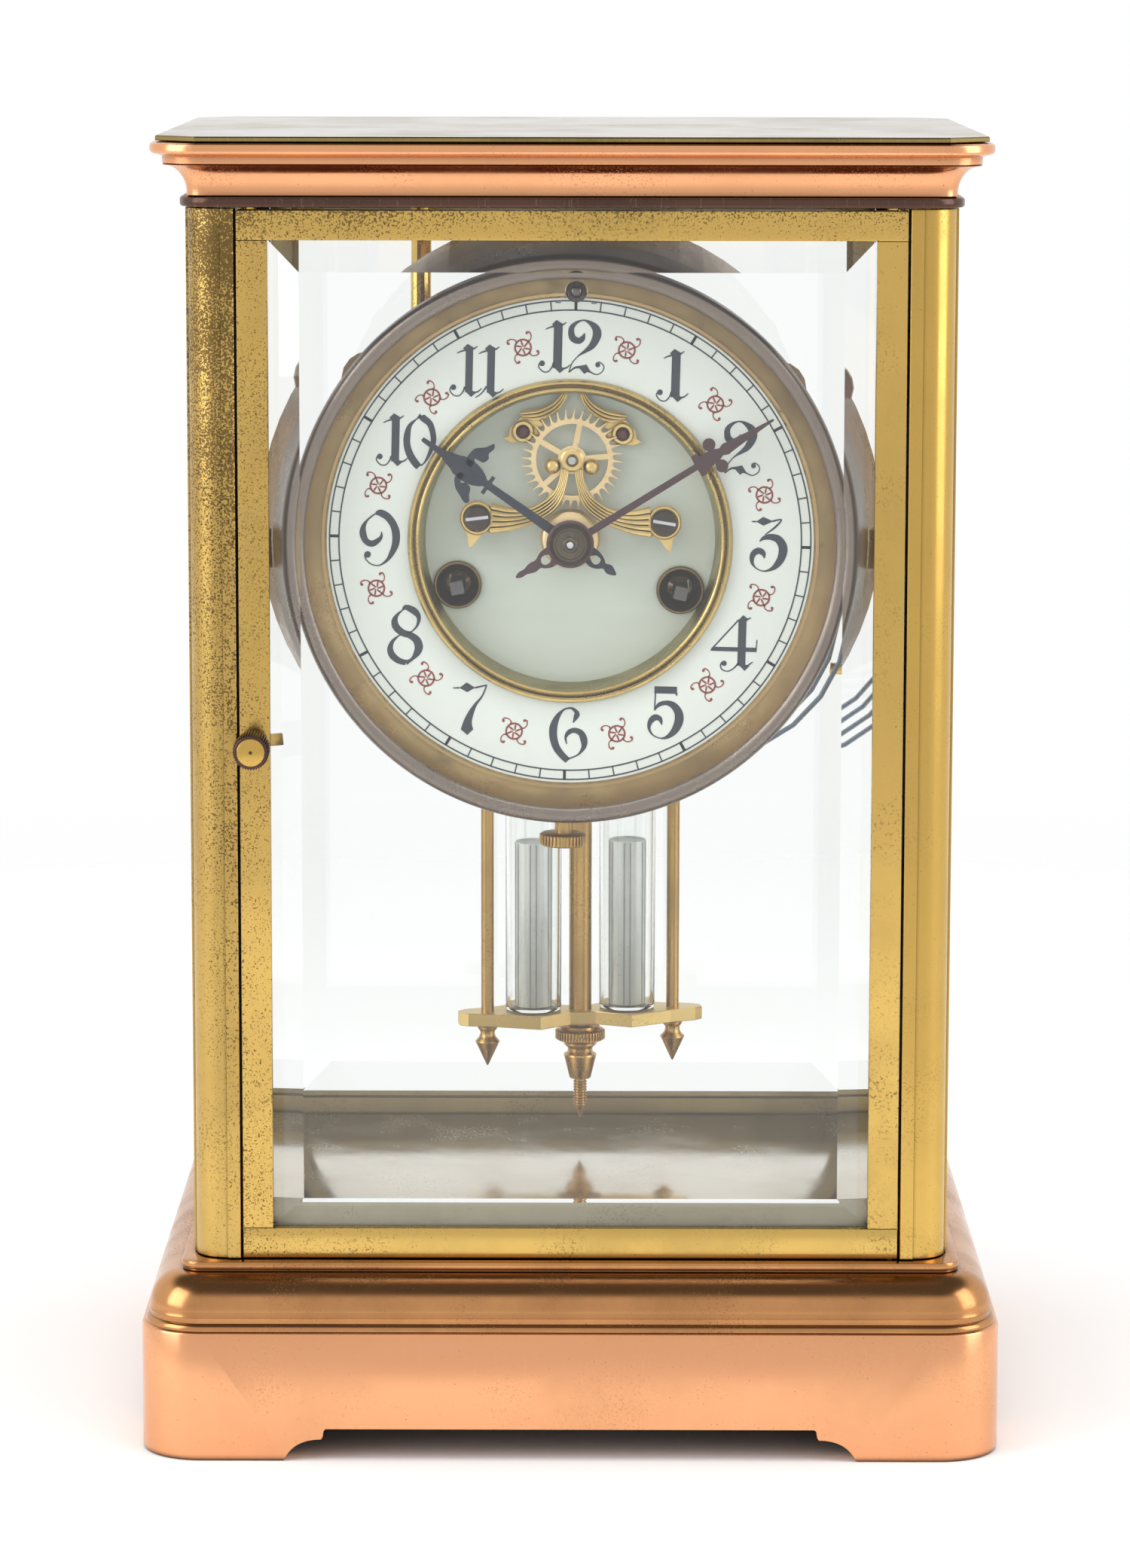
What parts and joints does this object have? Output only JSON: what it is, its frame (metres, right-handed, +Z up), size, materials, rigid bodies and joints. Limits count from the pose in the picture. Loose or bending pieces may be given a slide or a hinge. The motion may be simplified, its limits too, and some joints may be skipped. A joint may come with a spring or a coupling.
{
  "type": "crystal_regulator_clock",
  "caption": "Four-glass mantel clock: copper-coloured plinth and cornice, bevelled glass doors, white dial with visible escapement, two-jar pendulum and coil gong",
  "frame": {"origin": "middle of the plinth's underside, on the surface the clock stands on", "axes": "+Z up, the dial faces -Y, +X to the right as seen from the front"},
  "size_m": [0.175, 0.146, 0.267],
  "materials": {
    "copper_plate": "satin copper plate, a little hazed",
    "brass": "lacquered brass, satin",
    "dark_bronze": "dark brown bronzed metal",
    "brushed_lid": "worn brushed top",
    "bronze_bezel": "turned bronze-coloured brass",
    "gilt": "matte gilt",
    "steel": "polished steel",
    "blued_steel": "blued steel",
    "porcelain": "glazed white porcelain",
    "clear_glass": "clear bevelled glass"
  },
  "bodies": {
    "case": {"plinth": "copper_plate", "floor_plate": "brass", "post_front_left": "brass", "post_front_right": "brass", "post_back_left": "brass", "post_back_right": "brass", "head_plate": "dark_bronze", "cornice": "copper_plate", "lid_plate": "brushed_lid", "left_side_frame": "brass", "left_side_glass": "clear_glass", "left_bracket": "brass", "right_side_frame": "brass", "right_side_glass": "clear_glass", "right_bracket": "brass", "bezel": "bronze_bezel", "movement_drum": "brass", "chapter_ring": "porcelain", "gilt_ring": "gilt", "centre_disc": "porcelain", "front_movement_plate": "brass", "back_movement_plate": "brass", "escape_bridge": "gilt", "suspension_cock": "brass", "coil_gong": "blued_steel", "gong_support": "brass"},
    "front_door": {"front_door_frame": "brass", "front_door_glass": "clear_glass"},
    "front_latch": {"front_latch": "brass"},
    "back_door": {"back_door_frame": "brass", "back_door_glass": "clear_glass"},
    "back_latch": {"back_latch": "brass"},
    "bezel_thumbscrew": {"bezel_thumbscrew": "brass"},
    "minute_hand": {"minute_hand": "blued_steel", "cannon_pinion": "steel"},
    "hour_hand": {"hour_hand": "blued_steel", "hour_wheel": "brass"},
    "minute_wheel": {"minute_wheel": "brass"},
    "centre_wheel": {"centre_wheel": "brass"},
    "third_wheel": {"third_wheel": "brass"},
    "escape_wheel": {"escape_wheel": "gilt"},
    "time_barrel": {"time_barrel": "brass"},
    "strike_barrel": {"strike_barrel": "brass"},
    "time_winding_arbor": {"time_winding_arbor": "steel"},
    "strike_winding_arbor": {"strike_winding_arbor": "steel"},
    "regulator_arbor": {"regulator_arbor": "steel"},
    "pallets": {"pallet_anchor": "gilt", "crutch": "steel"},
    "pendulum": {"pendulum_rod": "brass", "pendulum_tray": "brass", "pendulum_top_plate": "brass", "pendulum_left_rod": "brass", "pendulum_right_rod": "brass", "pendulum_left_jar": "clear_glass", "pendulum_right_jar": "clear_glass", "pendulum_left_cylinder": "steel", "pendulum_right_cylinder": "steel", "suspension_spring": "steel"},
    "rating_nut": {"rating_nut": "brass"},
    "strike_hammer": {"strike_hammer": "steel"}
  },
  "joints": [
    {"name": "front_door_hinge", "type": "hinge", "parent": "case", "child": "front_door", "pos_m": [0.0651, -0.061, 0.14604], "axis": [0, 0, 1], "range_deg": [0, 110]},
    {"name": "front_latch_turn", "type": "hinge", "parent": "front_door", "child": "front_latch", "pos_m": [-0.06385, -0.0625, 0.1452], "axis": [0, 1, 0], "range_deg": [0, 174]},
    {"name": "back_door_hinge", "type": "hinge", "parent": "case", "child": "back_door", "pos_m": [-0.0651, 0.061, 0.14604], "axis": [0, 0, 1], "range_deg": [0, 110]},
    {"name": "back_latch_turn", "type": "hinge", "parent": "back_door", "child": "back_latch", "pos_m": [0.06385, 0.0625, 0.1452], "axis": [0, 1, 0], "range_deg": [-174, 0]},
    {"name": "bezel_thumbscrew_turn", "type": "hinge", "parent": "case", "child": "bezel_thumbscrew", "pos_m": [-0.00168, -0.0465, 0.12432], "axis": [0.0227, 0, 0.9997], "continuous": true},
    {"name": "minute_hand_turn", "type": "hinge", "parent": "case", "child": "minute_hand", "pos_m": [-0.0003, -0.051, 0.185], "axis": [0, 1, 0], "continuous": true},
    {"name": "hour_hand_turn", "type": "hinge", "parent": "case", "child": "hour_hand", "pos_m": [-0.0003, -0.049, 0.185], "axis": [0, 1, 0], "continuous": true},
    {"name": "minute_wheel_turn", "type": "hinge", "parent": "case", "child": "minute_wheel", "pos_m": [0.0081, -0.036, 0.18481], "axis": [0, 1, 0], "continuous": true},
    {"name": "centre_wheel_turn", "type": "hinge", "parent": "case", "child": "centre_wheel", "pos_m": [-0.0003, -0.006, 0.185], "axis": [0, 1, 0], "continuous": true},
    {"name": "third_wheel_turn", "type": "hinge", "parent": "case", "child": "third_wheel", "pos_m": [-0.01222, 0, 0.19757], "axis": [0, 1, 0], "continuous": true},
    {"name": "escape_wheel_turn", "type": "hinge", "parent": "case", "child": "escape_wheel", "pos_m": [0.00007, -0.042, 0.20127], "axis": [0, 1, 0], "continuous": true},
    {"name": "time_barrel_turn", "type": "hinge", "parent": "case", "child": "time_barrel", "pos_m": [0.02217, -0.019, 0.17449], "axis": [0, 1, 0], "continuous": true},
    {"name": "strike_barrel_turn", "type": "hinge", "parent": "case", "child": "strike_barrel", "pos_m": [-0.02322, -0.019, 0.17552], "axis": [0, 1, 0], "continuous": true},
    {"name": "time_winding_turn", "type": "hinge", "parent": "case", "child": "time_winding_arbor", "pos_m": [0.02217, -0.046, 0.17449], "axis": [0, 1, 0], "continuous": true},
    {"name": "strike_winding_turn", "type": "hinge", "parent": "case", "child": "strike_winding_arbor", "pos_m": [-0.02322, -0.046, 0.17552], "axis": [0, 1, 0], "continuous": true},
    {"name": "regulator_turn", "type": "hinge", "parent": "case", "child": "regulator_arbor", "pos_m": [0.00085, -0.046, 0.23559], "axis": [0, 1, 0], "continuous": true},
    {"name": "pendulum_swing", "type": "hinge", "parent": "case", "child": "pendulum", "pos_m": [0.002, 0.034, 0.2267], "axis": [0, 1, 0], "range_deg": [-1.5, 1.5]},
    {"name": "pallets_rock", "type": "hinge", "parent": "case", "child": "pallets", "pos_m": [0.00056, 0, 0.22299], "axis": [0, 1, 0], "range_deg": [-1.5, 1.5]},
    {"name": "rating_nut_turn", "type": "hinge", "parent": "pendulum", "child": "rating_nut", "pos_m": [0.002, 0.034, 0.0676], "axis": [0, 0, 1], "continuous": true},
    {"name": "hammer_lift", "type": "hinge", "parent": "case", "child": "strike_hammer", "pos_m": [-0.024, 0.0085, 0.152], "axis": [0, 1, 0], "range_deg": [-12, 0], "stiffness_Nm_per_rad": 0.02}
  ],
  "couplings": [
    {"joint": "hour_hand_turn", "follows": "minute_hand_turn", "ratio": 0.083333},
    {"joint": "minute_wheel_turn", "follows": "minute_hand_turn", "ratio": -0.33333},
    {"joint": "escape_wheel_turn", "follows": "third_wheel_turn", "ratio": -8},
    {"joint": "centre_wheel_turn", "follows": "third_wheel_turn", "ratio": -0.15385},
    {"joint": "pallets_rock", "follows": "pendulum_swing", "ratio": 1}
  ]
}
